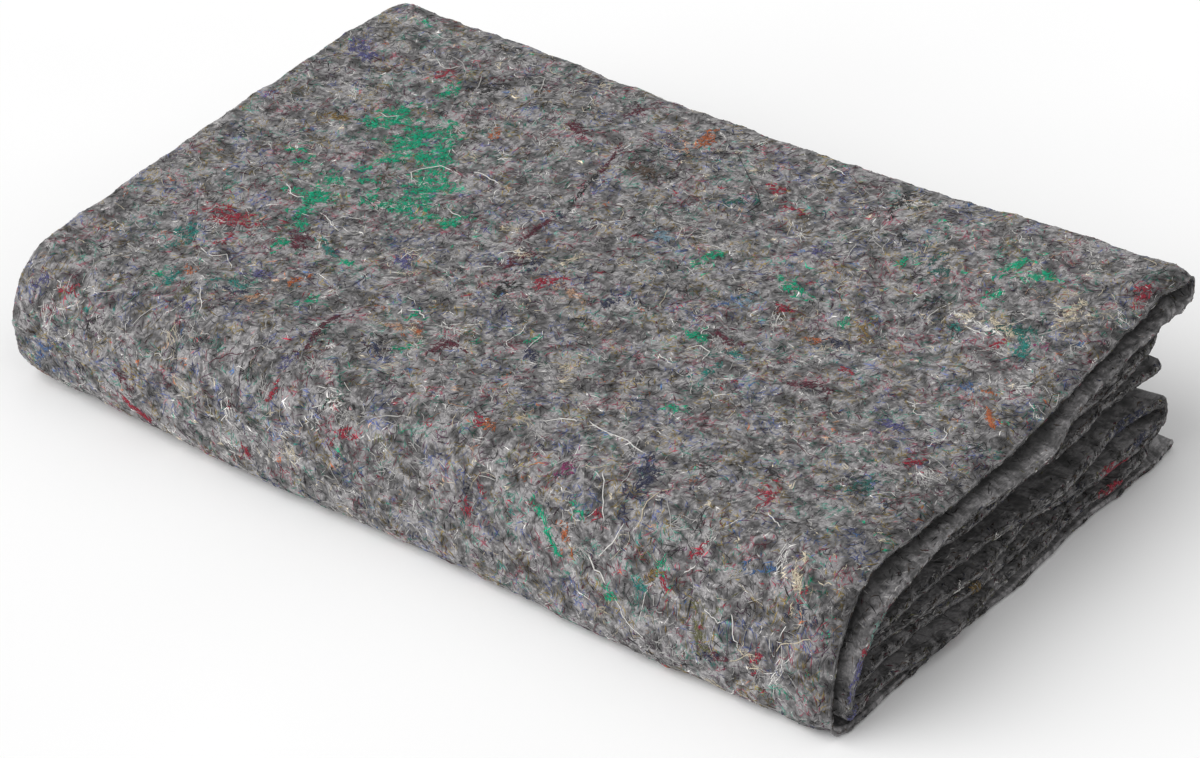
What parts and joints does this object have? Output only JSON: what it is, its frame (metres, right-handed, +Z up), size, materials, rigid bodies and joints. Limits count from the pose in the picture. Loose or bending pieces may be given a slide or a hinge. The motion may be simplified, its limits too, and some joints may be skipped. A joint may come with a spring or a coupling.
{
  "type": "folded protective cover fleece",
  "caption": "Grey recycled-fibre needle felt cover sheet, halved and folded back and forth into a flat bundle that lies on a surface.",
  "frame": {"origin": "middle of the underside of the bundle, on the surface it lies on", "axes": "+X along the bundle's long side towards the cut edges, -Y towards the front bend, +Z up"},
  "size_m": [0.5224, 0.3186, 0.1005],
  "materials": {
    "felt": "matt needle felt, mottled grey with coloured fibres"
  },
  "bodies": {
    "root": {"fleece_sheet": "felt"}
  },
  "joints": []
}
